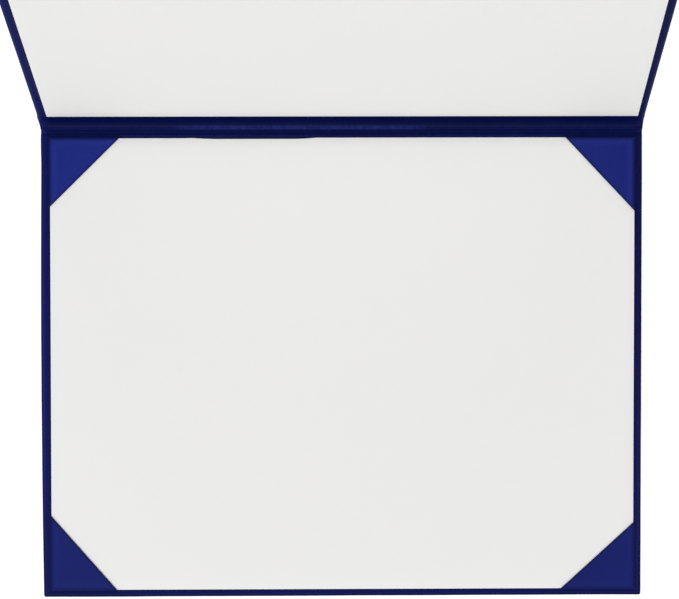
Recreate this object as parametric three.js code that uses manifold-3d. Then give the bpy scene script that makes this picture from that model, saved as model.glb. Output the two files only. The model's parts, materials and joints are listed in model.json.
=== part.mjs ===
// An open diploma cover. Two greyboard panels are wrapped in leatherette and joined by a
// cloth hinge along one long side. The lower panel lies flat and holds a letter-size sheet
// under four corner pockets, and the upper panel stands open behind it.
//
// Millimetres, +Z up. The origin is the centre of the lower panel's underside, and +Y points
// to the hinge.

import * as THREE from 'three';
import { mergeVertices } from 'three/addons/utils/BufferGeometryUtils.js';
import Module from 'manifold-3d';

const wasm = await Module();
wasm.setup();

// Panels
const PANEL_WIDTH = 292; // along the hinge
const PANEL_LENGTH = 224.5; // from the hinge edge to the free edge
const BOARD_THICKNESS = 1.9;
const CLOTH = 0.5; // leatherette of the cover and the hinge
const GLUE_LINE = 0.25; // between two glued layers
const EDGE_ROUND = 1.0; // fold of the leatherette over a board's edge
const CORNER_RADIUS = 1.5; // free corners, seen from above
const TURN_IN = 15; // leatherette turned over onto a board's inner face
const MITRE_WIDTH = 0.3; // seam where two turn-ins meet
const MITRE_DEPTH = 0.3;

// Lining cards, and the leatherette border that each leaves bare
const CARD_THICKNESS = 0.7;
const LOWER_MARGIN_LEFT = 4.05;
const LOWER_MARGIN_RIGHT = 3.4;
const LOWER_MARGIN_FREE = 2.85;
const LOWER_MARGIN_HINGE = 0.8;
const UPPER_MARGIN_LEFT = 4.0;
const UPPER_MARGIN_RIGHT = 3.1;
const UPPER_MARGIN_FREE = 2.9;
const UPPER_MARGIN_HINGE = 2.8;

// Corner pockets, cut and folded by hand, so that no two are quite alike
const POCKET_CLOTH = 0.4;
const POCKET_SLOT = 0.35; // height left above the card for a sheet of paper
const POCKET_WALL_GAP = 0.15; // between the card's edge and the fold round it
const POCKET_SEAT = 0.05; // between a back flap and the turn-in under it
const POCKET_FLAP = 10; // back flap under the card
const POCKET_HEM = 5; // diagonal edge turned under itself
const HEM_THICKNESS = 0.15;
const FLAP_CLEARANCE = 0.1; // between a back flap and its recess in the card
const HINGE_LEFT_LEGS = [33.7, 33.1]; // along the hinge, away from it
const HINGE_RIGHT_LEGS = [33.2, 35.2];
const FREE_LEFT_LEGS = [31.8, 36.2];
const FREE_RIGHT_LEGS = [36.0, 33.0];

// Hinge
const HINGE_GAP = 9.6; // between the boards when the cover lies flat
const HINGE_LIFT = 1.5; // half the gap between the inner faces when it is closed
const OPENING_ANGLE = 117; // as it stands open
const HINGE_FLAP = 15; // hinge lining glued onto each board
const HINGE_SEAM = 0.3; // between the spine sheet and each panel's skin
const CREASE_OUT = 1.9; // pressed line beside the lower board
const CREASE_DEPTH = 0.7;
const RIDGE_OUT = 3.4; // fold that stands up beyond the crease
const RIDGE_RISE = 0.6;
const RIDGE_WIDTH = 1.1;
const RIDGE_FALL = 0.15;
const HINGE_SLACK = 0.9; // how far the lining hangs back from a straight line
const SHEET_SLACK = 0.25; // between the two sheets where they are not pressed together
const PATH_STEPS = 36;
const ARC_STEPS = 5;

// Worked out from the above
const THICKNESS = 2 * CLOTH + 2 * GLUE_LINE + BOARD_THICKNESS;
const CARD_BOTTOM = THICKNESS + GLUE_LINE;
const CARD_TOP = CARD_BOTTOM + CARD_THICKNESS;
const LAMINATE = 2 * CLOTH + GLUE_LINE;
const TILT = THREE.MathUtils.degToRad(180 - OPENING_ANGLE);
const HINGE_EDGE = PANEL_LENGTH / 2;
const PIVOT = new THREE.Vector2(HINGE_GAP / 2, THICKNESS + HINGE_LIFT);
const HALF_WIDTH = PANEL_WIDTH / 2;
const REACH = PANEL_WIDTH + PANEL_LENGTH; // longer than any cut through a panel

const NAVY = 0x1d2561;
const CARD_WHITE = 0xf1f1ee;
const BOARD_GREY = 0x8f8b82;

// Solids

function toSolid(geometry) {
  const bare = geometry.clone();
  bare.deleteAttribute('normal');
  bare.deleteAttribute('uv');
  const welded = mergeVertices(bare);
  return new wasm.Manifold(new wasm.Mesh({
    numProp: 3,
    vertProperties: welded.getAttribute('position').array,
    triVerts: new Uint32Array(welded.getIndex().array),
  }));
}

function toMesh(name, solid, color, roughness) {
  const { vertProperties, triVerts } = solid.getMesh();
  const geometry = new THREE.BufferGeometry();
  geometry.setAttribute('position', new THREE.BufferAttribute(vertProperties, 3));
  geometry.setIndex(new THREE.BufferAttribute(triVerts, 1));
  geometry.computeVertexNormals();
  const material = new THREE.MeshStandardMaterial({ color, roughness, metalness: 0 });
  const mesh = new THREE.Mesh(geometry, material);
  mesh.name = name;
  return mesh;
}

function block(x0, x1, y0, y1, z0, z1) {
  const geometry = new THREE.BoxGeometry(x1 - x0, y1 - y0, z1 - z0);
  geometry.translate((x0 + x1) / 2, (y0 + y1) / 2, (z0 + z1) / 2);
  return toSolid(geometry);
}

// A plan outline raised from one height to another, with its rims rounded if asked.
function raise(shape, z0, z1, round = 0) {
  const geometry = new THREE.ExtrudeGeometry(shape, {
    depth: z1 - z0 - 2 * round,
    curveSegments: ARC_STEPS,
    bevelEnabled: round > 0,
    bevelThickness: round,
    bevelSize: round,
    bevelOffset: -round,
    bevelSegments: ARC_STEPS,
  });
  geometry.translate(0, 0, z0 + round);
  return toSolid(geometry);
}

// A section across the hinge, drawn as distance past its edge and height, run along x.
function runAlongHinge(points, x0, x1) {
  const geometry = new THREE.ExtrudeGeometry(new THREE.Shape(points), {
    depth: x1 - x0,
    bevelEnabled: false,
  });
  const across = new THREE.Matrix4().makeBasis(
    new THREE.Vector3(0, 1, 0),
    new THREE.Vector3(0, 0, 1),
    new THREE.Vector3(1, 0, 0),
  );
  geometry.applyMatrix4(across);
  geometry.translate(x0, 0, 0);
  return toSolid(geometry);
}

// Panels. Each is drawn with its hinge edge on y = 0 and its free edge at negative y.

function panelOutline(inset, hingeSide) {
  const halfWidth = HALF_WIDTH - inset;
  const free = -(PANEL_LENGTH - inset);
  const radius = CORNER_RADIUS - inset;
  const shape = new THREE.Shape();
  shape.moveTo(halfWidth, hingeSide);
  shape.lineTo(-halfWidth, hingeSide);
  shape.lineTo(-halfWidth, free + radius);
  shape.absarc(-halfWidth + radius, free + radius, radius, Math.PI, 1.5 * Math.PI);
  shape.lineTo(halfWidth - radius, free);
  shape.absarc(halfWidth - radius, free + radius, radius, 1.5 * Math.PI, 2 * Math.PI);
  shape.closePath();
  return shape;
}

// The seam between two turn-ins, along the bisector of a free corner.
function mitreSeam(side) {
  const length = TURN_IN * Math.SQRT2;
  const geometry = new THREE.BoxGeometry(length, MITRE_WIDTH, 2 * MITRE_DEPTH);
  geometry.translate(length / 2 + CORNER_RADIUS, 0, THICKNESS);
  geometry.rotateZ(side < 0 ? Math.PI / 4 : 0.75 * Math.PI);
  geometry.translate(side * HALF_WIDTH, -PANEL_LENGTH, 0);
  return toSolid(geometry);
}

function panelSkin(left, right) {
  const past = 2 * EDGE_ROUND;
  const upto = block(-REACH, REACH, -REACH, 0, -1, THICKNESS + 1);
  const outside = raise(panelOutline(0, past), 0, THICKNESS, EDGE_ROUND).intersect(upto);
  const room = raise(
    panelOutline(CLOTH, past), CLOTH, THICKNESS - CLOTH, EDGE_ROUND - CLOTH,
  );
  const window = block(
    TURN_IN - HALF_WIDTH, HALF_WIDTH - TURN_IN,
    TURN_IN - PANEL_LENGTH, past, THICKNESS / 2, THICKNESS + 1,
  );
  const hingeFlap = block(
    left - HINGE_SEAM - HALF_WIDTH, HALF_WIDTH - right + HINGE_SEAM,
    -HINGE_FLAP - HINGE_SEAM, past, THICKNESS / 2, THICKNESS + 1,
  );
  return outside
    .subtract(room)
    .subtract(window)
    .subtract(hingeFlap)
    .subtract(mitreSeam(-1))
    .subtract(mitreSeam(1));
}

function greyboard() {
  const bottom = CLOTH + GLUE_LINE;
  return raise(panelOutline(bottom, -GLUE_LINE), bottom, bottom + BOARD_THICKNESS);
}

function liningCard(left, right, free, hinge) {
  return block(
    left - HALF_WIDTH, HALF_WIDTH - right,
    free - PANEL_LENGTH, -hinge, CARD_BOTTOM, CARD_TOP,
  );
}

// Corner pockets. Each is drawn at a corner of the lower card, with u along the hinge and v
// away from it, both running inward from the card's corner.

const CARD_LEFT = LOWER_MARGIN_LEFT - HALF_WIDTH;
const CARD_RIGHT = HALF_WIDTH - LOWER_MARGIN_RIGHT;
const CARD_FREE = LOWER_MARGIN_FREE - PANEL_LENGTH;
const CARD_HINGE = -LOWER_MARGIN_HINGE;

const corners = [
  { name: 'corner_pocket_hinge_left', x: CARD_LEFT, y: CARD_HINGE, inX: 1, inY: -1, legs: HINGE_LEFT_LEGS },
  { name: 'corner_pocket_hinge_right', x: CARD_RIGHT, y: CARD_HINGE, inX: -1, inY: -1, legs: HINGE_RIGHT_LEGS },
  { name: 'corner_pocket_free_left', x: CARD_LEFT, y: CARD_FREE, inX: 1, inY: 1, legs: FREE_LEFT_LEGS },
  { name: 'corner_pocket_free_right', x: CARD_RIGHT, y: CARD_FREE, inX: -1, inY: 1, legs: FREE_RIGHT_LEGS },
];

const FLAP_BOTTOM = THICKNESS + POCKET_SEAT;
const FLAP_TOP = FLAP_BOTTOM + POCKET_CLOTH;
const SLOT_TOP = CARD_TOP + POCKET_SLOT;
const POCKET_TOP = SLOT_TOP + POCKET_CLOTH;

// The triangle under a pocket's diagonal. It runs past the card's edges by one distance, and
// its diagonal is moved outward by another.
function cornerTriangle(corner, past, moved = 0) {
  const [legX, legY] = corner.legs;
  const share = 1 + moved * Math.hypot(legX, legY) / (legX * legY);
  const points = [
    [-past, -past],
    [legX * (share + past / legY), -past],
    [-past, legY * (share + past / legX)],
  ];
  return new THREE.Shape(points.map(([u, v]) => new THREE.Vector2(
    corner.x + corner.inX * u,
    corner.y + corner.inY * v,
  )));
}

// The slit between the two back flaps, from the card's corner inward.
function flapSlit(corner) {
  const geometry = new THREE.BoxGeometry(POCKET_FLAP * Math.SQRT2, MITRE_WIDTH, 2 * POCKET_CLOTH);
  geometry.rotateZ(Math.atan2(corner.inY, corner.inX));
  geometry.translate(
    corner.x + corner.inX * (POCKET_FLAP / 2 + POCKET_CLOTH),
    corner.y + corner.inY * (POCKET_FLAP / 2 + POCKET_CLOTH),
    FLAP_BOTTOM,
  );
  return toSolid(geometry);
}

function cornerPocket(corner) {
  const { legs } = corner;
  const clear = Math.max(...legs);
  const folded = raise(
    cornerTriangle(corner, POCKET_WALL_GAP + POCKET_CLOTH), FLAP_BOTTOM, POCKET_TOP,
  );
  const slot = raise(
    cornerTriangle(corner, POCKET_WALL_GAP, clear), FLAP_TOP, SLOT_TOP - HEM_THICKNESS,
  );
  const behindHem = raise(
    cornerTriangle(corner, POCKET_WALL_GAP, -POCKET_HEM), FLAP_TOP, SLOT_TOP,
  );
  const betweenFlaps = raise(
    cornerTriangle(corner, -POCKET_FLAP, clear), FLAP_BOTTOM - 1, CARD_TOP,
  );
  return folded
    .subtract(slot)
    .subtract(behindHem)
    .subtract(betweenFlaps)
    .subtract(flapSlit(corner));
}

function lowerLining() {
  const card = liningCard(
    LOWER_MARGIN_LEFT, LOWER_MARGIN_RIGHT, LOWER_MARGIN_FREE, LOWER_MARGIN_HINGE,
  );
  const recesses = corners.map((corner) => raise(
    cornerTriangle(corner, 1, HINGE_SEAM), CARD_BOTTOM - 1, FLAP_TOP + FLAP_CLEARANCE,
  ));
  return recesses.reduce((rest, recess) => rest.subtract(recess), card);
}

// Hinge. Points are the distance past the lower board's hinge edge, and the height.

// A point given as on the flat cover, past the upper board's hinge edge, where it stands open.
function onUpper(past, height) {
  return new THREE.Vector2(HINGE_GAP + past, height).rotateAround(PIVOT, TILT);
}

// A point part of the way from one to another, moved to the outside of the hinge.
function between(from, to, share, outward) {
  const along = to.clone().sub(from).normalize();
  return from.clone().lerp(to, share).add(new THREE.Vector2(along.y, -along.x).multiplyScalar(outward));
}

const crease = new THREE.Vector2(CREASE_OUT, THICKNESS - CREASE_DEPTH);
const ridge = new THREE.Vector2(RIDGE_OUT, THICKNESS + RIDGE_RISE);
const behindRidge = new THREE.Vector2(RIDGE_OUT + RIDGE_WIDTH, ridge.y - RIDGE_FALL);
const upperEdge = onUpper(-HINGE_SEAM, THICKNESS);

// The inside face of the hinge lining, between the two boards.
const innerPath = new THREE.SplineCurve([
  new THREE.Vector2(HINGE_SEAM, THICKNESS),
  crease,
  ridge,
  behindRidge,
  between(behindRidge, upperEdge, 0.45, HINGE_SLACK),
  upperEdge,
]).getSpacedPoints(PATH_STEPS);

// The outside face of the cover's sheet, between the two boards.
const outerPath = new THREE.SplineCurve([
  new THREE.Vector2(HINGE_SEAM, 0),
  new THREE.Vector2(CREASE_OUT, crease.y - LAMINATE - SHEET_SLACK),
  new THREE.Vector2(RIDGE_OUT + RIDGE_WIDTH / 2, crease.y - 2 * SHEET_SLACK),
  between(behindRidge, upperEdge, 0.45, HINGE_SLACK + LAMINATE + SHEET_SLACK),
  onUpper(-CREASE_OUT, crease.y - LAMINATE - SHEET_SLACK),
  onUpper(-HINGE_SEAM, 0),
]).getSpacedPoints(PATH_STEPS);

// A sheet's section, from a path on one of its faces. A positive thickness lies outside the
// path. Both ends are cut square to the panels.
function sheetSection(path, thickness) {
  const last = path.length - 1;
  const alongLower = new THREE.Vector2(1, 0);
  const alongUpper = alongLower.clone().rotateAround(new THREE.Vector2(), TILT);
  const otherFace = path.map((point, i) => {
    const along = path[Math.min(i + 1, last)].clone().sub(path[Math.max(i - 1, 0)]).normalize();
    if (i === 0) along.copy(alongLower);
    if (i === last) along.copy(alongUpper);
    return point.clone().add(new THREE.Vector2(along.y, -along.x).multiplyScalar(thickness));
  });
  return [...path, ...otherFace.reverse()];
}

function hingeLining() {
  const path = [
    new THREE.Vector2(-HINGE_FLAP, THICKNESS),
    new THREE.Vector2(0, THICKNESS),
    ...innerPath,
    onUpper(0, THICKNESS),
    onUpper(HINGE_FLAP, THICKNESS),
  ];
  return runAlongHinge(sheetSection(path, CLOTH), CARD_LEFT, CARD_RIGHT);
}

// The cover's one sheet where it crosses the hinge. Past the ends of the lining it is turned
// in, and the two layers fill the hinge from face to face.
function spineSheet() {
  const turnedIn = [...innerPath, ...[...outerPath].reverse()];
  const sheet = runAlongHinge(sheetSection(outerPath, -CLOTH), -HALF_WIDTH, HALF_WIDTH);
  const leftEnd = runAlongHinge(turnedIn, -HALF_WIDTH, CARD_LEFT - HINGE_SEAM);
  const rightEnd = runAlongHinge(turnedIn, CARD_RIGHT + HINGE_SEAM, HALF_WIDTH);
  return sheet.add(leftEnd).add(rightEnd);
}

// Assembly

const lowerPanel = new THREE.Group();
lowerPanel.position.y = HINGE_EDGE;
lowerPanel.add(
  toMesh('lower_wrap', panelSkin(LOWER_MARGIN_LEFT, LOWER_MARGIN_RIGHT), NAVY, 0.45),
  toMesh('lower_board', greyboard(), BOARD_GREY, 0.95),
  toMesh('lower_lining', lowerLining(), CARD_WHITE, 0.8),
  toMesh('spine_wrap', spineSheet(), NAVY, 0.45),
  toMesh('hinge_lining', hingeLining(), NAVY, 0.5),
);
for (const corner of corners) {
  lowerPanel.add(toMesh(corner.name, cornerPocket(corner), NAVY, 0.45));
}

// The upper panel is drawn as the lower one is, then turned end for end, with left and right
// changed over, and tilted about the hinge.
const upperPanel = new THREE.Group();
upperPanel.position.set(0, HINGE_GAP / 2, -PIVOT.y);
upperPanel.rotation.z = Math.PI;
const upperCard = liningCard(
  UPPER_MARGIN_RIGHT, UPPER_MARGIN_LEFT, UPPER_MARGIN_FREE, UPPER_MARGIN_HINGE,
);
upperPanel.add(
  toMesh('upper_wrap', panelSkin(LOWER_MARGIN_RIGHT, LOWER_MARGIN_LEFT), NAVY, 0.45),
  toMesh('upper_board', greyboard(), BOARD_GREY, 0.95),
  toMesh('upper_lining', upperCard, CARD_WHITE, 0.8),
);
const tilted = new THREE.Group();
tilted.position.set(0, HINGE_EDGE + PIVOT.x, PIVOT.y);
tilted.rotation.x = TILT;
tilted.add(upperPanel);

const diplomaCover = new THREE.Group();
diplomaCover.add(lowerPanel, tilted);

export default diplomaCover;
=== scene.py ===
import functools
import json
import math

import bmesh
import bpy
import numpy as np
from mathutils import Matrix, Vector


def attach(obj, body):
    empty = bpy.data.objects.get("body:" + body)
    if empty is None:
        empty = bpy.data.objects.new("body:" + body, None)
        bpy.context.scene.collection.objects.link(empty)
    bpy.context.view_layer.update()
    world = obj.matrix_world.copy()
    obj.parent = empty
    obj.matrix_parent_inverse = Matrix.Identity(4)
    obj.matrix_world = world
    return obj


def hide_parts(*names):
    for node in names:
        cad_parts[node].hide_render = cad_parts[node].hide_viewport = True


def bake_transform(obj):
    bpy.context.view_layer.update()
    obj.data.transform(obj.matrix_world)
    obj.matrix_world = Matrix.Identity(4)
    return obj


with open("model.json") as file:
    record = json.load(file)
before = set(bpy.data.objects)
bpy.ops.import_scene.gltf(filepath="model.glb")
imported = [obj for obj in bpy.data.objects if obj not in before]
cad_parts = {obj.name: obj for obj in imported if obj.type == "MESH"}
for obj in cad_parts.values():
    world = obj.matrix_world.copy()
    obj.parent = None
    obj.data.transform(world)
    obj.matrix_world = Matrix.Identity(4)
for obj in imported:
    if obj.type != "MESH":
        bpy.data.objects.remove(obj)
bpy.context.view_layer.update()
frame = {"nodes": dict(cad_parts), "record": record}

# The finished look of an open diploma cover: one sheet of navy leatherette wrapped round two
# boards, a hinge lining, white lining cards and four corner pockets.
#
# Shapes are worked out in millimetres, in the coordinates of the cover laid flat: x along the
# hinge, s past the lower board's hinge edge, and height above the outer face. place() stands
# them where they are at rest.

MM = 0.001
LOWER = "lower_panel"
UPPER = "upper_panel"

hinge_joint = frame["record"]["behaviour"]["joints"][0]
TILT = math.radians(hinge_joint["range_deg"][1])
PIVOT = np.array(hinge_joint["pos_m"]) / MM


def turned(points, angle):
    """Points turned about the hinge."""
    points = np.array(points, float)
    y = points[..., 1] - PIVOT[1]
    z = points[..., 2] - PIVOT[2]
    points[..., 1] = PIVOT[1] + y * math.cos(angle) - z * math.sin(angle)
    points[..., 2] = PIVOT[2] + y * math.sin(angle) + z * math.cos(angle)
    return points


@functools.cache
def node_box(node, angle=0.0):
    """A CAD node's lowest and highest corners. An angle turns it back first, as the upper
    panel lies on the flat cover."""
    points = [vertex.co for vertex in frame["nodes"][node].data.vertices]
    points = turned(np.array(points, float) / MM, -angle)
    return points.min(axis=0), points.max(axis=0)


# Sizes that the frame gives

LOW, HIGH = node_box("lower_wrap")
HALF_WIDTH = HIGH[0]
HINGE_EDGE = HIGH[1]
PANEL_LENGTH = HIGH[1] - LOW[1]
THICKNESS = HIGH[2]
HINGE_GAP = node_box("upper_wrap", TILT)[0][1] - HINGE_EDGE
CARD_LOW, CARD_HIGH = node_box("lower_lining")

# Sizes of the folded sheets

CLOTH = 0.5
GLUE_LINE = 0.25
EDGE_ROUND = 1.0
CORNER_RADIUS = 1.0
MITRE_RADIUS = 0.4
BOTTOM_RADIUS = 6.0
TURN_IN = 15.0
SEAM = 0.1
HINGE_FLAP = 15.0
CREASE_OUT = 1.9
CREASE_DEPTH = 0.7
RIDGE_OUT = 3.4
RIDGE_RISE = 0.6
RIDGE_WIDTH = 1.1
RIDGE_FALL = 0.15
HINGE_SLACK = 0.9
SLACK_SHARE = 0.45
SHEET_SLACK = 0.25
LAMINATE = 2 * CLOTH + GLUE_LINE


# Helpers for numbers

def smooth_step(value, start, end):
    t = np.clip((np.asarray(value, float) - start) / (end - start), 0.0, 1.0)
    return t * t * (3.0 - 2.0 * t)


def hump(value, centre, width):
    return np.exp(-((np.asarray(value, float) - centre) / width) ** 2)


def ripple(a, b, seed, wavelength):
    """Smooth unevenness between about -1 and 1, from waves in several directions."""
    total = 0.0
    weight = 0.0
    for n in range(5):
        heading = 1.7 * seed + 2.4 * n
        wave = 2.0 * math.pi * (1.0 + 0.55 * n) / wavelength
        share = 1.0 / (1.0 + 0.7 * n)
        along = a * math.cos(heading) + b * math.sin(heading)
        total = total + share * np.sin(wave * along + 3.1 * seed + 1.3 * n)
        weight += share
    return total / weight


# Section of the hinge. Points are y and z where the cover stands open.

def on_panel(s, height):
    """A point of the lower panel, or of the upper one where s lies beyond the hinge."""
    point = (0.0, HINGE_EDGE + s, height)
    return turned(point, TILT if s > HINGE_GAP / 2 else 0.0)[1:]


def between(start, end, share, outward):
    """A point part of the way along a line, moved to the outside of the hinge."""
    along = (end - start) / np.linalg.norm(end - start)
    return start + share * (end - start) + outward * np.array([along[1], -along[0]])


CURVE_STEPS = 60


def curve_through(points, steps):
    """Evenly spaced points on a Catmull-Rom curve."""
    points = np.array(points)
    padded = np.concatenate([points[:1], points, points[-1:]])
    fine = []
    for p0, p1, p2, p3 in zip(padded, padded[1:], padded[2:], padded[3:]):
        for t in np.linspace(0.0, 1.0, CURVE_STEPS, endpoint=False):
            v0 = (p2 - p0) / 2
            v1 = (p3 - p1) / 2
            cubic = (2 * p1 - 2 * p2 + v0 + v1) * t**3
            square = (-3 * p1 + 3 * p2 - 2 * v0 - v1) * t**2
            fine.append(cubic + square + v0 * t + p1)
    fine = np.array(fine + [points[-1]])
    run = np.concatenate([[0.0], np.cumsum(np.linalg.norm(np.diff(fine, axis=0), axis=1))])
    wanted = np.linspace(0.0, run[-1], steps + 1)
    return np.stack([np.interp(wanted, run, fine[:, axis]) for axis in range(2)], axis=1)


PATH_STEPS = 60
crease_height = THICKNESS - CREASE_DEPTH


def inner_path(rise):
    """The inside face of the hinge lining between the boards, with its fold so high."""
    behind = on_panel(RIDGE_OUT + RIDGE_WIDTH, THICKNESS + rise - RIDGE_FALL)
    upper_edge = on_panel(HINGE_GAP - SEAM, THICKNESS)
    return curve_through([
        on_panel(SEAM, THICKNESS),
        on_panel(CREASE_OUT, crease_height),
        on_panel(RIDGE_OUT, THICKNESS + rise),
        behind,
        between(behind, upper_edge, SLACK_SHARE, HINGE_SLACK),
        upper_edge,
    ], PATH_STEPS)


def outer_path():
    """The outside face of the cover's sheet between the boards."""
    behind = on_panel(RIDGE_OUT + RIDGE_WIDTH, THICKNESS + RIDGE_RISE - RIDGE_FALL)
    upper_edge = on_panel(HINGE_GAP - SEAM, THICKNESS)
    pressed = crease_height - LAMINATE - SHEET_SLACK
    return curve_through([
        on_panel(SEAM, 0.0),
        on_panel(CREASE_OUT, pressed),
        on_panel(RIDGE_OUT + RIDGE_WIDTH / 2, crease_height - 2 * SHEET_SLACK),
        between(behind, upper_edge, SLACK_SHARE, HINGE_SLACK + LAMINATE + SHEET_SLACK),
        on_panel(HINGE_GAP - CREASE_OUT, pressed),
        on_panel(HINGE_GAP - SEAM, 0.0),
    ], PATH_STEPS)


inner = inner_path(RIDGE_RISE)
outer = outer_path()
gap_stations = np.linspace(SEAM, HINGE_GAP - SEAM, PATH_STEPS + 1)
gap_thickness = np.linalg.norm(inner - outer, axis=1)
gap_up = (inner - outer) / gap_thickness[:, None]


def thickness_at(s):
    """How thick the cover is at a station."""
    return float(np.interp(s, gap_stations, gap_thickness, THICKNESS, THICKNESS))


def place(x, s, height):
    """A point of the flat cover where it is at rest."""
    if s < SEAM:
        return np.array([x, HINGE_EDGE + s, height])
    if s > HINGE_GAP - SEAM:
        return turned([x, HINGE_EDGE + s, height], TILT)
    base = [np.interp(s, gap_stations, outer[:, axis]) for axis in range(2)]
    up = [np.interp(s, gap_stations, gap_up[:, axis]) for axis in range(2)]
    return np.array([x, base[0] + up[0] * height, base[1] + up[1] * height])


# Mesh helpers

def make_piece(name, points, faces, material, flat=None, marks=(), sharp=50.0):
    """A closed mesh from points in millimetres. flat holds each point's place on the flat
    cover, for the grain, and marks the named weights that its material reads."""
    mesh = bpy.data.meshes.new(name)
    mesh.from_pydata((np.asarray(points) * MM).tolist(), [], faces)
    work = bmesh.new()
    work.from_mesh(mesh)
    bmesh.ops.recalc_face_normals(work, faces=work.faces[:])
    work.to_mesh(mesh)
    work.free()
    mesh.polygons.foreach_set("use_smooth", [True] * len(mesh.polygons))
    mesh.set_sharp_from_angle(angle=math.radians(sharp))
    grain_place = mesh.attributes.new("flat", "FLOAT_VECTOR", "POINT")
    grain = np.asarray(points if flat is None else flat, np.float32) * MM
    grain_place.data.foreach_set("vector", grain.ravel())
    for mark, values in dict(marks).items():
        weights = mesh.attributes.new(mark, "FLOAT", "POINT")
        weights.data.foreach_set("value", np.asarray(values, np.float32))
    mesh.materials.append(material)
    piece = bpy.data.objects.new(name, mesh)
    bpy.context.scene.collection.objects.link(piece)
    return piece


def loop_faces(rings, samples, first=0):
    """Quads between closed rings of points."""
    return [
        (
            first + ring * samples + k,
            first + ring * samples + (k + 1) % samples,
            first + (ring + 1) * samples + (k + 1) % samples,
            first + (ring + 1) * samples + k,
        )
        for ring in range(rings - 1)
        for k in range(samples)
    ]


# Materials

class Surface:
    """A node material on one Principled shader."""

    def __init__(self, name, **constants):
        self.material = bpy.data.materials.new(name)
        self.material.use_nodes = True
        self.tree = self.material.node_tree
        self.shader = self.tree.nodes["Principled BSDF"]
        for socket, value in constants.items():
            self.shader.inputs[socket.replace("_", " ")].default_value = value

    def add(self, kind, settings=(), **inputs):
        node = self.tree.nodes.new(kind)
        for key, value in dict(settings).items():
            setattr(node, key, value)
        for key, value in inputs.items():
            socket = node.inputs[int(key[1:])] if key[0] == "_" else node.inputs[key]
            if isinstance(value, bpy.types.NodeSocket):
                self.tree.links.new(value, socket)
            else:
                socket.default_value = value
        return node

    def maths(self, operation, a, b=0.0):
        return self.add("ShaderNodeMath", {"operation": operation}, _0=a, _1=b).outputs[0]

    def spread(self, value, low, high):
        """A 0 to 1 value spread over a range."""
        node = self.add("ShaderNodeMapRange", Value=value)
        node.inputs["To Min"].default_value = low
        node.inputs["To Max"].default_value = high
        return node.outputs["Result"]

    def mix(self, share, a, b):
        node = self.add("ShaderNodeMix", {"data_type": "RGBA"}, Factor=share)
        for socket, value in zip((node.inputs[6], node.inputs[7]), (a, b)):
            if isinstance(value, bpy.types.NodeSocket):
                self.tree.links.new(value, socket)
            else:
                socket.default_value = (*value, 1.0)
        return node.outputs[2]

    def noise(self, where, scale, detail=3.0, roughness=0.5):
        node = self.add(
            "ShaderNodeTexNoise", Vector=where, Scale=scale, Detail=detail, Roughness=roughness
        )
        return node.outputs["Fac"]

    def attribute(self, name, output="Fac"):
        return self.add("ShaderNodeAttribute", {"attribute_name": name}).outputs[output]

    def bump(self, height, distance, strength=1.0, under=None):
        node = self.add("ShaderNodeBump", Height=height, Distance=distance, Strength=strength)
        if under is not None:
            self.tree.links.new(under, node.inputs["Normal"])
        return node.outputs["Normal"]

    def finish(self, colour, roughness, normal):
        self.tree.links.new(colour, self.shader.inputs["Base Color"])
        self.tree.links.new(roughness, self.shader.inputs["Roughness"])
        self.tree.links.new(normal, self.shader.inputs["Normal"])
        return self.material


# Shares of a leatherette's colour where its tone (painted light and random patches) is 0 or 1, in
# its grain and under full painted shade
TONE_DARK = 0.6
TONE_LIGHT = 1.4
GRAIN_DARK = 0.6
PAINTED_SHADE_DARK = 0.35

# How much two patterns and the grain change the colour, and how much the roughness changes
CLOUDS = 0.3
MOTTLE = 0.15
GRAIN_SHARE = 0.3
ROUGHNESS_SPREAD = 0.07


def scaled(colour, factor):
    return tuple(factor * channel for channel in colour)


def leatherette(name, colour, paling_and_highlight_colour, rough, speckle):
    """Smooth coated cloth with a fine pebbled grain. Along its folds it is paler where stretched
    and carries a painted highlight, and painted shade darkens its edges, rims and the cloth beside
    the cards. speckle is how unevenly the paling and painted highlight break into specks."""
    surface = Surface(name, Specular_IOR_Level=0.04)
    where = surface.attribute("flat", "Vector")
    cloudy = surface.noise(where, 38.0, 3.0)
    mottled = surface.noise(where, 260.0, 4.0, 0.6)
    fold_specks = surface.noise(where, 640.0, 2.0)
    pores = surface.noise(where, 5200.0, 2.0)
    pebbles = surface.add(
        "ShaderNodeTexVoronoi", {"feature": "SMOOTH_F1"},
        Vector=where, Scale=1900.0, Smoothness=0.4,
    ).outputs["Distance"]
    patches = surface.maths(
        "ADD", surface.maths("MULTIPLY", cloudy, CLOUDS), surface.maths("MULTIPLY", mottled, MOTTLE)
    )
    unevenness = surface.maths("SUBTRACT", patches, (CLOUDS + MOTTLE) / 2)
    # The tone attribute is painted light; random patches of real colour are added to it.
    share = surface.maths("ADD", surface.attribute("tone"), unevenness)
    tone = surface.mix(share, scaled(colour, TONE_DARK), scaled(colour, TONE_LIGHT))
    valley_share = surface.maths("MULTIPLY", pebbles, GRAIN_SHARE)
    valley = surface.mix(valley_share, tone, scaled(colour, GRAIN_DARK))
    # The fold mark is stretched-cloth paling together with a painted highlight, broken into specks.
    fold_speckling = surface.spread(fold_specks, 0.75 - speckle, 0.75 + speckle)
    fold_paling_and_highlight = surface.maths("MULTIPLY", surface.attribute("fold_paling_and_highlight"), fold_speckling)
    paled_and_highlighted = surface.mix(fold_paling_and_highlight, valley, paling_and_highlight_colour)
    # Painted shade: the shade attribute darkens the colour toward its darkest share.
    with_painted_shade = surface.mix(surface.attribute("shade"), paled_and_highlighted, scaled(colour, PAINTED_SHADE_DARK))
    roughness = surface.spread(mottled, rough - ROUGHNESS_SPREAD, rough + ROUGHNESS_SPREAD)
    grain = surface.bump(pebbles, 0.00008, 0.6)
    normal = surface.bump(pores, 0.00003, 0.4, grain)
    return surface.finish(with_painted_shade, roughness, normal)


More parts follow.
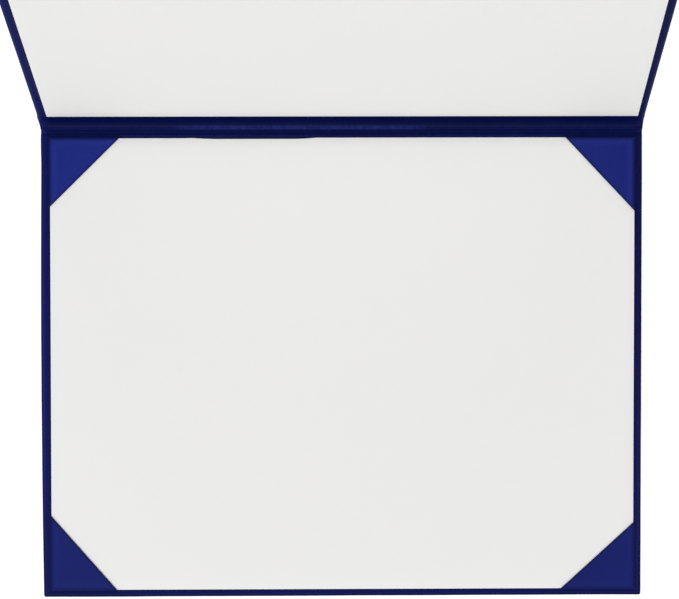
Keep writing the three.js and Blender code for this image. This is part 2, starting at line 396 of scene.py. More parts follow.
def card(name, colour):
    """Matt coated card with faint fibres and a slight tooth."""
    surface = Surface(name, Specular_IOR_Level=0.3)
    where = surface.add("ShaderNodeTexCoord").outputs["Object"]
    cloudy = surface.noise(where, 22.0, 2.0)
    fibres = surface.noise(where, 900.0, 5.0, 0.65)
    warm = tuple(c * f for c, f in zip(colour, (1.004, 1.0, 0.99)))
    cool = tuple(c * f for c, f in zip(colour, (0.992, 0.996, 1.0)))
    tone = surface.mix(surface.spread(cloudy, -0.5, 1.5), warm, cool)
    speckled = surface.mix(surface.spread(fibres, -0.3, 0.9), tone, scaled(colour, 0.985))
    roughness = surface.spread(fibres, 0.55, 0.68)
    normal = surface.bump(fibres, 0.00002, 0.5)
    return surface.finish(speckled, roughness, normal)


def greyboard_material():
    """Grey recycled board, flecked and soft."""
    surface = Surface("greyboard", Specular_IOR_Level=0.2)
    where = surface.add("ShaderNodeTexCoord").outputs["Object"]
    flecks = surface.noise(where, 1400.0, 4.0, 0.7)
    layers = surface.noise(where, 120.0, 3.0)
    tone = surface.mix(layers, (0.27, 0.255, 0.22), (0.33, 0.31, 0.27))
    flecked = surface.mix(surface.spread(flecks, -0.6, 0.9), tone, (0.16, 0.15, 0.13))
    roughness = surface.spread(layers, 0.85, 0.98)
    normal = surface.bump(flecks, 0.00006, 0.6)
    return surface.finish(flecked, roughness, normal)


# Each leatherette colour comes with the paler one that its fold mark mixes in. On the cover and
# pockets that is stretched-cloth paling with a painted highlight; on the hinge lining it is painted
# highlight alone.
NAVY = (0.0040, 0.0074, 0.089)
NAVY_PALING_AND_HIGHLIGHT = (0.016, 0.022, 0.19)
NAVY_POCKET = (0.0107, 0.0193, 0.177)
NAVY_POCKET_PALING_AND_HIGHLIGHT = (0.03, 0.044, 0.3)
NAVY_HINGE = (0.0014, 0.0042, 0.054)
NAVY_HINGE_HIGHLIGHT = (0.024, 0.036, 0.24)
CARD_WHITE = (0.856, 0.854, 0.842)

cover_finish = leatherette("cover_leatherette", NAVY, NAVY_PALING_AND_HIGHLIGHT, 0.42, 0.3)
pocket_finish = leatherette("pocket_leatherette", NAVY_POCKET, NAVY_POCKET_PALING_AND_HIGHLIGHT, 0.46, 0.3)
hinge_finish = leatherette("hinge_leatherette", NAVY_HINGE, NAVY_HINGE_HIGHLIGHT, 0.42, 0.75)
card_finish = card("lining_card", CARD_WHITE)
board_finish = greyboard_material()

for node in ("lower_board", "upper_board"):
    frame["nodes"][node].data.materials.clear()
    frame["nodes"][node].data.materials.append(board_finish)


# The cover's sheet. Its edge is walked once round, and at each step a profile runs from the
# turned-in edge over the fold and down the side to the outer face.

GRID_STEP = 4.0
FILL_INSET = 26.0
TOP_SHARES = (1.0, 0.7, 0.45, 0.28, 0.2, 0.14, 0.1, 0.065, 0.035, 0.014)
ARC_ANGLES = np.radians([0, 15, 30, 45, 60, 75, 90])
BOTTOM_SHARES = (0.05, 0.16, 0.4, 1.0)
LOWER_END = -PANEL_LENGTH
UPPER_END = HINGE_GAP + PANEL_LENGTH


def side_stations():
    first = LOWER_END + FILL_INSET
    flap = HINGE_FLAP + SEAM
    lower = list(np.linspace(first, -flap - 0.05, round((-flap - first) / GRID_STEP)))
    near = [-flap, -12.0, -9.0, -6.5, -4.5, -3.0, -2.0, -1.2, -0.6, 0.0]
    gap = list(np.linspace(SEAM, HINGE_GAP - SEAM, 31))
    half = lower + near
    return half + gap + [HINGE_GAP - s for s in reversed(half)]


def free_stations():
    reach = HALF_WIDTH - FILL_INSET
    return list(np.linspace(-reach, reach, round(2 * reach / GRID_STEP)))


def walk_round(sides, frees):
    """The samples round the edge: on a side, on a free edge, or in a corner."""
    approach = (0.25, 0.5, 0.7, 0.85)
    corner = [("before", q) for q in approach]
    corner += [("arc", angle) for angle in np.radians(np.linspace(0.0, 90.0, 9))]
    corner += [("after", q) for q in (0.15, 0.3, 0.5, 0.75)]
    walk = [("side", -1, s) for s in sides]
    walk += [("corner", -1, 1, part) for part in corner]
    walk += [("free", 1, x) for x in frees]
    walk += [("corner", 1, 1, part) for part in reversed(corner)]
    walk += [("side", 1, s) for s in reversed(sides)]
    walk += [("corner", 1, -1, part) for part in corner]
    walk += [("free", -1, x) for x in reversed(frees)]
    walk += [("corner", -1, -1, part) for part in reversed(corner)]
    return walk


def plan_place(sample, inset, radius, sides, frees):
    """Where a sample lies on the flat cover at an inset from the edge."""
    if sample[0] == "side":
        return sample[1] * (HALF_WIDTH - inset), sample[2]
    if sample[0] == "free":
        return sample[2], (UPPER_END if sample[1] > 0 else LOWER_END) - sample[1] * inset
    across, along, (part, value) = sample[1:]
    end = UPPER_END if along > 0 else LOWER_END
    centre_x = across * (HALF_WIDTH - inset - radius)
    centre_s = end - along * (inset + radius)
    if part == "arc":
        return (
            centre_x + across * radius * math.cos(value),
            centre_s + along * radius * math.sin(value),
        )
    if part == "before":
        start = sides[-1] if along > 0 else sides[0]
        return across * (HALF_WIDTH - inset), start + value * (centre_s - start)
    stop = across * frees[-1]
    return centre_x + value * (stop - centre_x), end - along * inset


def turn_in_at(sample):
    """How far the sheet is turned in. Beside the hinge it stops at the lining's end."""
    flap = HINGE_FLAP + SEAM
    if sample[0] == "side" and -flap <= sample[2] <= HINGE_GAP + flap:
        margin = CARD_LOW[0] + HALF_WIDTH if sample[1] < 0 else HALF_WIDTH - CARD_HIGH[0]
        return margin - SEAM
    return TURN_IN


def profile(turn_in, thickness, skin):
    """Inset and height along the profile, on the outer face (0) or the inner one (1)."""
    radius = min(EDGE_ROUND, 0.49 * thickness)
    depth = skin * CLOTH
    bend = radius - depth
    points = [(radius + (turn_in - radius) * share, thickness - depth) for share in TOP_SHARES]
    for angle in ARC_ANGLES:
        points.append((
            radius - bend * math.sin(angle),
            thickness - radius + bend * math.cos(angle),
        ))
    for angle in ARC_ANGLES:
        points.append((radius - bend * math.cos(angle), radius - bend * math.sin(angle)))
    points += [(radius + (TURN_IN - radius) * share, depth) for share in BOTTOM_SHARES]
    return points


def side_bow(x, s):
    """How far a side edge stands out from a straight line. The hand-cut lower panel is widest
    beyond its middle, and the sheet bulges where it leaves the upper board at the hinge."""
    middle = 1.0 - ((s + 127.0) / 112.0) ** 2
    lower = 0.7 * max(middle, -0.2) if x < 0 else 0.27
    on_upper = smooth_step(s, 0.0, HINGE_GAP)
    upper = 0.45 if x < 0 else 0.5
    bulge = hump(s, HINGE_GAP - 2.0, 3.0) * (0.55 if x < 0 else 0.2)
    return lower * (1.0 - on_upper) + upper * on_upper + bulge


def free_bow(x, s):
    """How far a free edge stands out. The lower one is cut a little out of square."""
    return 0.40 - 0.0031 * x if s < 0 else 0.1


def edge_shape(x, s, inset, height, thickness, turn_in):
    """Small unevenness: how far a point moves outward on its side, on its free edge, and up.
    The turned-in edge itself stays, so that no board shows beside the hinge lining."""
    near_edge = 1.0 - smooth_step(inset, turn_in / 3, turn_in - SEAM)
    waver = 0.06 * ripple(x, s, 2.0, 70.0)
    top = smooth_step(height, 0.4 * thickness, thickness)
    crown = 0.07 * hump(inset, 1.25, 0.55) - 0.17 * smooth_step(inset, 1.6, 3.1)
    lift = top * (crown + 0.03 * ripple(x, s, 5.0, 42.0))
    return near_edge * (side_bow(x, s) + waver), near_edge * (free_bow(x, s) + waver), lift


def end_wrinkle(x, s):
    """A slanting wrinkle where the turned-in end crosses the crease, strongest on the left."""
    across = -x - 144.6 if x < 0 else x - 144.8
    along = s - 2.5
    line = hump(across - 0.65 * along, 0.0, 0.4)
    return line * hump(along, 0.0, 1.7) * (1.0 if x < 0 else 0.4)


def cover_painted_light(x, s):
    """Painted light over the cover: lighter on the left and darker on the right, fading out toward
    the lower free edge, a little lighter about the lower panel's middle and darker on the upper
    panel. 0.5 is the colour as it is named.
    """
    across = -0.28 * x / HALF_WIDTH * (1.0 - smooth_step(-s, 120.0, 210.0))
    return 0.5 + across + 0.1 * hump(s, -130.0, 50.0) - 0.1 * smooth_step(s, 0.0, HINGE_GAP)


def fold_paling_and_highlight_strength(x, s):
    """How far the cloth has paled along its edge fold, with a painted highlight: most on the left,
    beside the lower panel's middle.
    """
    if x < 0:
        return 0.2 + 0.75 * hump(s, -120.0, 60.0)
    return 0.08 + 0.35 * hump(s, -170.0, 40.0)


def edge_shade(s, inset, free_share):
    """Painted shade round the cloth's edge: deepest along the lower panel's free edge."""
    low = free_share if s < 0 else 0.0
    side = 0.5 * hump(inset, 0.0, 0.4)
    return side + low * (0.85 * (1.0 - smooth_step(inset, 0.55, 1.3)) - side)


RING_COUNT = len(TOP_SHARES) + 2 * len(ARC_ANGLES) + len(BOTTOM_SHARES)
FIRST_BOTTOM_RING = RING_COUNT - len(BOTTOM_SHARES)
WRINKLE_RISE = 0.2
# Painted shade on the turn-in beside a card's edge
PAINTED_CARD_SHADE = 0.35


def ring_radius(ring, inset):
    """The corner radius of one ring of the sheet."""
    if ring >= FIRST_BOTTOM_RING:
        return CORNER_RADIUS + (BOTTOM_RADIUS - CORNER_RADIUS) * inset / TURN_IN
    return max(CORNER_RADIUS - inset, MITRE_RADIUS)


def sheet_point(x, s, inset, height, turn_in, on_side):
    """Where a point of the sheet lies at rest, its fold paling with painted highlight, and its
    painted shade.
    """
    thickness = thickness_at(s)
    out_side, out_free, lift = edge_shape(x, s, inset, height, thickness, turn_in)
    side_share = smooth_step(abs(x), HALF_WIDTH - FILL_INSET, HALF_WIDTH - inset - 1.0)
    end = UPPER_END if s > 0 else LOWER_END
    free_share = 1.0 - smooth_step(abs(end - s), inset + 1.0, FILL_INSET)
    moved_x = x + math.copysign(out_side * side_share, x)
    moved_s = s + math.copysign(out_free * free_share, s)
    if height <= thickness / 2:
        return place(moved_x, moved_s, height + lift), 0.0, 0.0
    wrinkle = end_wrinkle(x, s) if on_side else 0.0
    # Paling with painted highlight along the fold and on the end wrinkle; painted shade round the
    # edge and on the turn-in beside the card, fading out toward the lower free edge.
    fold_paling_and_highlight = max(fold_paling_and_highlight_strength(x, s) * hump(inset, 1.3, 0.5), wrinkle)
    painted_card_shade = PAINTED_CARD_SHADE * smooth_step(inset, 1.9, 3.2) * (1.0 - wrinkle)
    painted_card_shade *= 1.0 - smooth_step(-s, 150.0, 205.0)
    shade = max(edge_shade(s, inset, free_share), painted_card_shade)
    return place(moved_x, moved_s, height + lift + WRINKLE_RISE * wrinkle), fold_paling_and_highlight, shade


def fill_faces(count, rows, columns, edge, base):
    """Faces between a closed ring of points, numbered from edge, and the grid inside it,
    numbered from base. Between two sides the ring has the points of a corner."""
    corner = (count - 2 * rows - 2 * columns) // 4
    left = list(range(rows))
    top = [rows + corner + k for k in range(columns)]
    right = [top[-1] + 1 + corner + k for k in range(rows)][::-1]
    low = [right[0] + 1 + corner + k for k in range(columns)][::-1]

    def inside(row, column):
        return base + row * columns + column

    faces = []
    for row in range(rows - 1):
        faces.append((edge + left[row], edge + left[row + 1], inside(row + 1, 0), inside(row, 0)))
        faces.append((
            inside(row, columns - 1), inside(row + 1, columns - 1),
            edge + right[row + 1], edge + right[row],
        ))
        for column in range(columns - 1):
            faces.append((
                inside(row, column), inside(row + 1, column),
                inside(row + 1, column + 1), inside(row, column + 1),
            ))
    for column in range(columns - 1):
        faces.append((
            inside(rows - 1, column), edge + top[column],
            edge + top[column + 1], inside(rows - 1, column + 1),
        ))
        faces.append((
            inside(0, column), inside(0, column + 1),
            edge + low[column + 1], edge + low[column],
        ))
    around = list(range(count)) + [0]
    for arc, inner_corner in (
        (around[left[-1]:top[0] + 1], inside(rows - 1, 0)),
        (around[top[-1]:right[-1] + 1], inside(rows - 1, columns - 1)),
        (around[right[0]:low[-1] + 1], inside(0, columns - 1)),
        (around[low[0]:], inside(0, 0)),
    ):
        faces.append([edge + k for k in arc] + [inner_corner])
    return faces


def cover_sheet():
    sides = side_stations()
    frees = free_stations()
    walk = walk_round(sides, frees)
    count = len(walk)
    points, flat, fold_paling_and_highlight, shade, tone, faces = [], [], [], [], [], []
    for skin in (0, 1):
        columns = []
        for sample in walk:
            s = sample[2] if sample[0] == "side" else LOWER_END
            columns.append(profile(turn_in_at(sample), thickness_at(s), skin))
        for ring in range(RING_COUNT):
            for sample, column in zip(walk, columns):
                inset, height = column[ring]
                x, s = plan_place(sample, inset, ring_radius(ring, inset), sides, frees)
                point, paling_and_highlight, painted_shade = sheet_point(
                    x, s, inset, height, turn_in_at(sample), sample[0] == "side"
                )
                points.append(point)
                flat.append((x, s, height))
                fold_paling_and_highlight.append(paling_and_highlight)
                shade.append(painted_shade)
                # The tone holds painted light over the cover.
                tone.append(cover_painted_light(x, s))
        faces += loop_faces(RING_COUNT, count, skin * RING_COUNT * count)
    inner_skin = RING_COUNT * count
    for k in range(count):
        after = (k + 1) % count
        faces.append((k, after, inner_skin + after, inner_skin + k))
    for skin in (0, 1):
        last_ring = (skin * RING_COUNT + RING_COUNT - 1) * count
        faces += fill_faces(count, len(sides), len(frees), last_ring, len(points))
        for s in sides:
            for x in frees:
                points.append(place(x, s, skin * CLOTH))
                flat.append((x, s, 0.0))
                fold_paling_and_highlight.append(0.0)
                shade.append(0.0)
                tone.append(cover_painted_light(x, s))
    piece = make_piece(
        "cover_leatherette", points, faces, cover_finish, flat,
        {"fold_paling_and_highlight": fold_paling_and_highlight, "shade": shade, "tone": tone},
    )
    tuple(place(0.0, 0.0, THICKNESS) * MM)
    tuple(place(0.0, HINGE_GAP, THICKNESS) * MM)
    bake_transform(piece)
    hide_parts("lower_wrap", "spine_wrap", "upper_wrap")


# The hinge lining, glued onto both boards and folded over the crease between them

LINING_STEP = 0.75
FLAP_PLACES = (0.0, 1.0, 2.5, 5.0, 9.0, HINGE_FLAP)
FOLD_FROM = (-86.0, -70.0)
FOLD_TO = (28.0, 46.0)
WEAK_RISE = 0.55
WEAK_STRENGTH = 0.35


def hinge_lining():
    start, end = CARD_LOW[0], CARD_HIGH[0]
    stations = np.linspace(start, end, round((end - start) / LINING_STEP) + 1)
    weak, strong = inner_path(WEAK_RISE * RIDGE_RISE), inner_path(RIDGE_RISE)
    lower_s = [-d for d in reversed(FLAP_PLACES)]
    upper_s = [HINGE_GAP + d for d in FLAP_PLACES]
    lower_flap = [on_panel(s, THICKNESS) for s in lower_s]
    upper_flap = [on_panel(s, THICKNESS) for s in upper_s]
    flat_s = np.array([*lower_s, *gap_stations, *upper_s])
    on_gap = smooth_step(flat_s, 0.5, 1.5) * (1.0 - smooth_step(flat_s, HINGE_GAP - 2.0, HINGE_GAP))
    crest = hump(flat_s, RIDGE_OUT + 0.4, 0.8)
    board_edge = hump(flat_s, 0.0, 0.9)
    points, flat, fold_paling_and_highlight, tone = [], [], [], []
    for x in stations:
        full = smooth_step(x, *FOLD_FROM) * (1.0 - smooth_step(x, *FOLD_TO))
        strength = WEAK_STRENGTH + (1.0 - WEAK_STRENGTH) * full
        path = np.array([*lower_flap, *(weak + strength * (strong - weak)), *upper_flap])
        along = np.gradient(path, axis=0)
        along[:5] = (1.0, 0.0)
        along[-5:] = (math.cos(TILT), math.sin(TILT))
        along /= np.linalg.norm(along, axis=1)[:, None]
        outward = np.stack([along[:, 1], -along[:, 0]], axis=1)
        pucker = 0.05 * crest * ripple(x, 0.0, 1.0, 3.1)
        pucker = pucker + 0.06 * on_gap * ripple(x, flat_s, 3.0, 17.0)
        path = path - outward * pucker[:, None]
        loop = np.concatenate([path, (path + CLOTH * outward)[::-1]])
        for (y, z), s in zip(loop, np.concatenate([flat_s, flat_s[::-1]])):
            points.append((x, y, z))
            flat.append((x, s, THICKNESS))
        # Painted glint along the ridge's crest, strongest where the ridge is full, and along the
        # lower board's edge.
        glint = crest * (0.2 + 0.6 * full) + 0.3 * board_edge
        fold_paling_and_highlight += [*glint, *(0.0 * glint)]
        # Painted light: the lining is lighter toward its ends, most on its lower flap, and a little
        # lighter on the left.
        share = x / HALF_WIDTH
        foot = 1.0 - smooth_step(flat_s, 0.0, 5.0)
        end_painted_light = 0.5 - 0.06 * share + (0.18 + 0.45 * foot) * share * share
        tone += [*end_painted_light, *end_painted_light[::-1]]
    samples = 2 * len(flat_s)
    faces = loop_faces(len(stations), samples)
    half = len(flat_s)
    for first in (0, (len(stations) - 1) * samples):
        for k in range(half - 1):
            back = first + samples - 1 - k
            faces.append((first + k, first + k + 1, back - 1, back))
    piece = make_piece(
        "hinge_lining_leatherette", points, faces, hinge_finish, flat,
        {"fold_paling_and_highlight": fold_paling_and_highlight, "shade": [0.0] * len(fold_paling_and_highlight), "tone": tone},
    )
    tuple(place(0.0, 0.0, THICKNESS) * MM)
    tuple(place(0.0, HINGE_GAP, THICKNESS) * MM)
    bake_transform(piece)
    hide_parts("hinge_lining")


# Corner pockets. Each is a closed sheet whose cross sections are L-shaped rings, from the back
# flap under the card, round its edges and over it to the middle of the diagonal.

POCKET_CLOTH = 0.4
POCKET_HEM = 5.0
POCKET_ROUND = 0.5
INNER_ROUND = 0.1
HEM_THICKNESS = 0.15
HEM_RISE = 0.04
PUFF = 0.22
FLAP_REACH = 10.55
FLAP_INSETS = (7.0, 3.0, 1.0)
TOP_INSETS = (
    0.7, 0.9, 1.15, 1.45, 1.8, 2.3, 3.2, 4.5, 6.0,
    7.5, 9.0, 10.5, 12.0, 13.3, 14.4, 15.2, 15.8, 16.2,
)
UNDER_ANGLES = np.radians([0, 30, 60, 90])
OVER_ANGLES = np.radians([0, 18, 36, 54, 72, 90])
LIP_ANGLES = np.radians([45, 90, 135])
LEG_SHARES = np.concatenate([np.linspace(0.0, 0.04, 4)[:-1], np.linspace(0.04, 1.0, 26)])


def pocket_profile(bottom, top, foot):
    """Inset and height of the outer face and of the inner one, from the back flap's end round
    the fold to the middle of the diagonal."""
    profile_points = [
        ((inset, bottom), (inset, bottom + POCKET_CLOTH)) for inset in (FLAP_REACH, *FLAP_INSETS)
    ]
    for angle in UNDER_ANGLES:
        out, up = 1 - math.sin(angle), 1 - math.cos(angle)
        profile_points.append((
            (POCKET_ROUND * out, bottom + POCKET_ROUND * up),
            (
                POCKET_ROUND - INNER_ROUND * math.sin(angle),
                bottom + POCKET_ROUND - INNER_ROUND * math.cos(angle),
            ),
        ))
    for angle in OVER_ANGLES:
        out, down = 1 - math.cos(angle), 1 - math.sin(angle)
        profile_points.append((
            (POCKET_ROUND * out, top - POCKET_ROUND * down),
            (
                POCKET_ROUND - INNER_ROUND * math.cos(angle),
                top - POCKET_ROUND + INNER_ROUND * math.sin(angle),
            ),
        ))
    insets = [inset for inset in TOP_INSETS if inset < foot - 0.3]
    for inset in (*insets, foot - 0.04):
        profile_points.append(((inset, top), (inset, top - POCKET_CLOTH)))
    return profile_points


def pocket_rise(u, v, edge, seed):
    """How far the pocket's top stands up at a point, and how far its hem thickens it there."""
    rim = min(u, v)
    hem = 1.0 - smooth_step(edge, POCKET_HEM - 0.4, POCKET_HEM + 0.2)
    puff = smooth_step(rim, 0.5, 6.0) * smooth_step(edge, 0.0, 9.0)
    rise = PUFF * puff + HEM_RISE * hem * smooth_step(rim, 0.3, 1.5)
    rise += 0.03 * ripple(u, v, seed, 23.0) * smooth_step(rim, 0.4, 3.0)
    return rise, HEM_THICKNESS * hem


def corner_pocket(name, inward_x, inward_y, moved, reach, tone):
    """A pocket, with its outer corner moved in by so much to follow its card, and its diagonal
    moved toward the panel's middle."""
    low, high = node_box(name)
    corner_x = (low[0] if inward_x > 0 else high[0]) + inward_x * moved[0]
    corner_y = (low[1] if inward_y > 0 else high[1]) + inward_y * moved[1]
    leg_x, leg_y = high[0] - low[0], high[1] - low[1]
    share = 1.0 + reach / (leg_x * leg_y / math.hypot(leg_x, leg_y))
    share -= moved[0] / leg_x + moved[1] / leg_y
    leg_x, leg_y = share * leg_x, share * leg_y
    slope = math.hypot(leg_x, leg_y)
    bottom, top = low[2], high[2]
    middle_height = (bottom + top) / 2
    foot = leg_x * leg_y / (leg_x + leg_y)
    # Paling with painted highlight and painted shade along the rim, both stronger on the pockets by
    # the hinge.
    at_hinge = inward_y < 0
    rim_paling_and_highlight = 0.25 if at_hinge else 0.1
    rim_shade = 1.0 if at_hinge else 0.6

    def from_diagonal(u, v):
        return (leg_x * leg_y - leg_y * u - leg_x * v) / slope

    def face_row(inset, height, is_inner):
        """One ring's points on the outer face or the inner one, from leg to leg."""
        ends_x = inset + (leg_x * (1.0 - inset / leg_y) - inset) * LEG_SHARES
        ends_y = inset + (leg_y * (1.0 - inset / leg_x) - inset) * LEG_SHARES
        row = []
        for u, v in [(u, inset) for u in ends_x[::-1]] + [(inset, v) for v in ends_y[1:]]:
            rise, thickening = 0.0, 0.0
            if height > middle_height:
                rise, thickening = pocket_rise(u, v, from_diagonal(u, v), corner_x * 0.01)
            row.append((u, v, height + rise - is_inner * thickening))
        return row

    def lip(a, b):
        """Points of the rounded edge between the two faces, at the end of a row."""
        a, b = np.array(a), np.array(b)
        middle, half = (a + b) / 2, (a - b) / 2
        outward = np.array([leg_y, leg_x, 0.0]) / slope * np.linalg.norm(half) * 0.9
        return [
            tuple(middle + half * math.cos(angle) + outward * math.sin(angle))
            for angle in LIP_ANGLES
        ]

    across = pocket_profile(bottom, top, foot)
    points, fold_paling_and_highlight, shade = [], [], []
    for outer_face, inner_face in across:
        outside = face_row(*outer_face, 0)
        inside = face_row(*inner_face, 1)
        ring = outside + lip(outside[-1], inside[-1]) + inside[::-1] + lip(inside[0], outside[0])
        for u, v, z in ring:
            points.append((corner_x + inward_x * u, corner_y + inward_y * v, z))
            rim = min(u, v)
            seen = z > middle_height
            # Paling with painted highlight a little inside the rim, painted shade at the rim, and
            # painted shade along the hem's diagonal edge.
            fold_paling_and_highlight.append(rim_paling_and_highlight * hump(rim, 2.9, 1.3) if seen else 0.0)
            bend = rim_shade * (1.0 - smooth_step(rim, 0.3, 2.2))
            hem_painted_shade = 0.8 * hump(from_diagonal(u, v), 0.0, 0.5)
            shade.append(max(hem_painted_shade, bend) if seen else 0.0)
    count = len(ring)
    row_length = len(outside)
    lip_length = len(LIP_ANGLES)
    faces = loop_faces(len(across), count)
    for first in (0, (len(across) - 1) * count):
        inner_end = first + 2 * row_length + lip_length - 1
        for k in range(row_length - 1):
            faces.append((first + k, first + k + 1, inner_end - k - 1, inner_end - k))
        faces.append([first + row_length - 1 + k for k in range(lip_length + 2)])
        faces.append([inner_end + k for k in range(lip_length + 1)] + [first])
    piece = make_piece(
        name + "_leatherette", points, faces, pocket_finish, points,
        {"fold_paling_and_highlight": fold_paling_and_highlight, "shade": shade, "tone": [tone] * len(fold_paling_and_highlight)},
    )
    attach(piece, LOWER)
    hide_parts(name)


# Lining cards, cut by hand. Each edge lies a little inside the CAD card's, by its own amount.

CARD_STEP = 5.0
CARD_EDGE = 0.1
RECESS = 0.3


def edge_numbers(columns, rows):
    """The rim of a grid of points, walked once round."""
    around = [(column, 0) for column in range(columns - 1)]
    around += [(columns - 1, row) for row in range(rows - 1)]
    around += [(column, rows - 1) for column in range(columns - 1, 0, -1)]
    around += [(0, row) for row in range(rows - 1, 0, -1)]
    return around


def lining_card(name, body, insets, angle, recess):
    """A card. insets are functions of x or s for its left, right, near and far edges, and
    recess gives how far its underside is pressed in at a point."""
    low, high = node_box(name, angle)
    low_s, high_s = low[1] - HINGE_EDGE, high[1] - HINGE_EDGE
    columns = round((high[0] - low[0]) / CARD_STEP) + 1
    rows = round((high_s - low_s) / CARD_STEP) + 1
    xs = np.linspace(low[0], high[0], columns)
    ss = np.linspace(low_s, high_s, rows)
    left, right, near, far = insets
    levels = (
        (CARD_EDGE, high[2]), (0.3 * CARD_EDGE, high[2] - 0.3 * CARD_EDGE),
        (0.0, high[2] - CARD_EDGE), (0.0, low[2]),
    )

    def point(column, row, inset, height):
        x, s = xs[column], ss[row]
        across, along = column / (columns - 1), row / (rows - 1)
        start_x, end_x = low[0] + left(s) + inset, high[0] - right(s) - inset
        start_s, end_s = low_s + near(x) + inset, high_s - far(x) - inset
        return np.array([
            start_x + (end_x - start_x) * across, start_s + (end_s - start_s) * along, height,
        ])

    points = []
    for row in range(rows):
        for column in range(columns):
            points.append(point(column, row, *levels[0]))
    rim = edge_numbers(columns, rows)
    for inset, height in levels[1:]:
        for column, row in rim:
            x, s, z = point(column, row, inset, height)
            points.append(np.array([x, s, z + (recess(x, s) if height == low[2] else 0.0)]))
    for row in range(1, rows - 1):
        for column in range(1, columns - 1):
            x, s, z = point(column, row, 0.0, low[2])
            points.append(np.array([x, s, z + recess(x, s)]))

    count = len(rim)
    upper_rim = [row * columns + column for column, row in rim]
    first_side = rows * columns
    last_side = first_side + (len(levels) - 2) * count
    under = {cell: last_side + k for k, cell in enumerate(rim)}
    first_under = last_side + count
    for row in range(1, rows - 1):
        for column in range(1, columns - 1):
            under[column, row] = first_under + (row - 1) * (columns - 2) + column - 1
    faces = []
    for row in range(rows - 1):
        for column in range(columns - 1):
            square = ((column, row), (column + 1, row), (column + 1, row + 1), (column, row + 1))
            faces.append([r * columns + c for c, r in square])
            faces.append([under[cell] for cell in square])
    for k in range(count):
        after = (k + 1) % count
        faces.append((upper_rim[k], upper_rim[after], first_side + after, first_side + k))
    faces += loop_faces(len(levels) - 1, count, first_side)
    points = [turned((x, HINGE_EDGE + s, z), angle) for x, s, z in points]
    piece = make_piece(name + "_card", points, faces, card_finish, sharp=30.0)
    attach(piece, body)
    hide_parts(name)


def pocket_recess(x, s):
    """The lower card's corners are pressed in over the pockets' back flaps."""
    deepest = 0.0
    for name in POCKETS:
        low, high = node_box(name)
        across = (x - low[0]) / (high[0] - low[0])
        along = (HINGE_EDGE + s - low[1]) / (high[1] - low[1])
        across = across if "left" in name else 1.0 - across
        along = along if "free" in name else 1.0 - along
        deepest = max(deepest, 1.0 - float(smooth_step(across + along, 1.12, 1.3)))
    return RECESS * deepest


# For each pocket: its inward directions in x and y, how far its corner is moved in, how far its
#  diagonal is moved toward the middle, and its tone, which is painted light: lighter by the hinge,
#  a painted reflection of the white upper lining, and lighter on the left
POCKETS = {
    "corner_pocket_hinge_left": (1, -1, (0.25, 0.2), 0.35, 0.82),
    "corner_pocket_hinge_right": (-1, -1, (0.3, 0.2), 0.35, 0.62),
    "corner_pocket_free_left": (1, 1, (0.15, 0.3), 0.0, 0.28),
    "corner_pocket_free_right": (-1, 1, (0.25, 0.75), 0.0, 0.27),
}

cover_sheet()
hinge_lining()
for pocket_name, pocket_sizes in POCKETS.items():
    corner_pocket(pocket_name, *pocket_sizes)


def lower_far_inset(x):
    """The lower card's edge at the hinge, which dips in between two places."""
    dip = smooth_step(x, -69.0, -66.0) * (1.0 - smooth_step(x, -19.0, -14.0))
    return 0.18 + 0.17 * (1.0 - smooth_step(x, -75.0, -68.0)) + 0.55 * dip


# How far each card's left, right, near and far edges lie inside those of its CAD node
LOWER_INSETS = (
    lambda s: 0.25 + 0.0025 * (s + 112.0),
    lambda s: 0.25 + 0.03 * math.sin(s / 30.0),
    lambda x: 0.42 + 0.0022 * x,
    lower_far_inset,
)
UPPER_INSETS = (
    lambda s: 0.5 - 0.001 * (s - HINGE_GAP),
    lambda s: 0.1 + 0.007 * min(s - HINGE_GAP, 90.0),
    lambda x: 0.0,
    lambda x: 0.1,
)

lining_card("lower_lining", LOWER, LOWER_INSETS, 0.0, pocket_recess)
lining_card("upper_lining", UPPER, UPPER_INSETS, TILT, lambda x, s: 0.0)


# Camera, as the photograph was taken: from above, looking down

IMAGE_WIDTH = 679
SENSOR = 36.0
FOCAL_PIXELS = 1676.7
CENTRE_RIGHT = 26.19
CAMERA_PLACE = (11.77, 57.61, 819.9)
CAMERA_PITCH = 1.751
CAMERA_ROLL = 0.085

camera_data = bpy.data.cameras.new("camera")
camera_data.sensor_width = SENSOR
camera_data.lens = SENSOR * FOCAL_PIXELS / IMAGE_WIDTH
camera_data.shift_x = -CENTRE_RIGHT / IMAGE_WIDTH
camera_data.clip_start = 0.01
camera = bpy.data.objects.new("camera", camera_data)
bpy.context.scene.collection.objects.link(camera)
view_turn = Matrix.Rotation(-math.radians(CAMERA_PITCH), 4, "X")
view_turn = view_turn @ Matrix.Rotation(-math.radians(CAMERA_ROLL), 4, "Z")
camera.matrix_world = Matrix.Translation([MM * value for value in CAMERA_PLACE]) @ view_turn
bpy.context.scene.camera = camera


# Light and floor

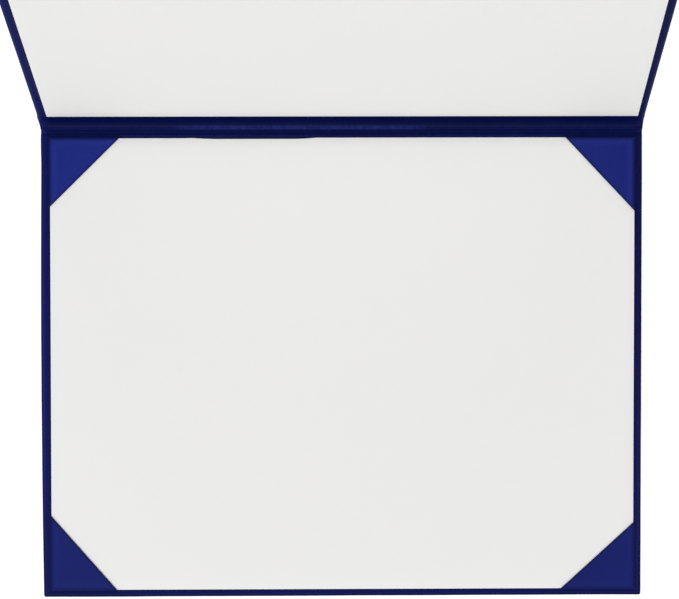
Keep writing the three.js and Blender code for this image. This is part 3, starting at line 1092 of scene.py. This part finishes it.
LAMP_TARGET = (0.0, 0.05, 0.02)
WORLD_STRENGTH = 0.55
FLOOR_REACH = 4.0
FLOOR_DROP = 0.0001
FLOOR_GREY = 0.8
FLOOR_GLOW = 0.5


def softbox(name, where, size, power):
    """A square lamp that faces the hinge."""
    lamp_data = bpy.data.lights.new(name, "AREA")
    lamp_data.shape = "SQUARE"
    lamp_data.size = size
    lamp_data.energy = power
    lamp = bpy.data.objects.new(name, lamp_data)
    bpy.context.scene.collection.objects.link(lamp)
    lamp.location = where
    lamp.rotation_euler = (Vector(LAMP_TARGET) - lamp.location).to_track_quat("-Z", "Y").to_euler()


softbox("key", (-0.45, -1.3, 2.6), 2.1, 44.0)
softbox("fill", (0.0, 2.5, 0.8), 1.6, 8.0)

world = bpy.data.worlds.new("studio")
bpy.context.scene.world = world
world.use_nodes = True
sky = world.node_tree
background = sky.nodes["Background"]
background.inputs["Color"].default_value = (1.0, 1.0, 1.0, 1.0)
background.inputs["Strength"].default_value = WORLD_STRENGTH

floor_mesh = bpy.data.meshes.new("floor")
floor_corners = [
    (x * FLOOR_REACH, y * FLOOR_REACH, -FLOOR_DROP) for x, y in ((-1, -1), (1, -1), (1, 1), (-1, 1))
]
floor_mesh.from_pydata(floor_corners, [], [(0, 1, 2, 3)])
floor = bpy.data.objects.new("floor", floor_mesh)
bpy.context.scene.collection.objects.link(floor)
floor_surface = Surface("floor", Roughness=0.9, Specular_IOR_Level=0.1)
floor_surface.shader.inputs["Base Color"].default_value = (FLOOR_GREY, FLOOR_GREY, FLOOR_GREY, 1.0)
floor_surface.shader.inputs["Emission Color"].default_value = (1.0, 1.0, 1.0, 1.0)
floor_rays = floor_surface.add("ShaderNodeLightPath").outputs
floor_seen = floor_surface.maths(
    "MAXIMUM", floor_rays["Is Camera Ray"], floor_rays["Is Glossy Ray"]
)
floor_seen = floor_surface.maths("MAXIMUM", floor_seen, floor_rays["Is Transmission Ray"])
floor_glow = floor_surface.maths("MULTIPLY", floor_seen, FLOOR_GLOW)
floor_surface.tree.links.new(floor_glow, floor_surface.shader.inputs["Emission Strength"])
floor_mesh.materials.append(floor_surface.material)

bpy.context.scene.view_settings.view_transform = "Standard"
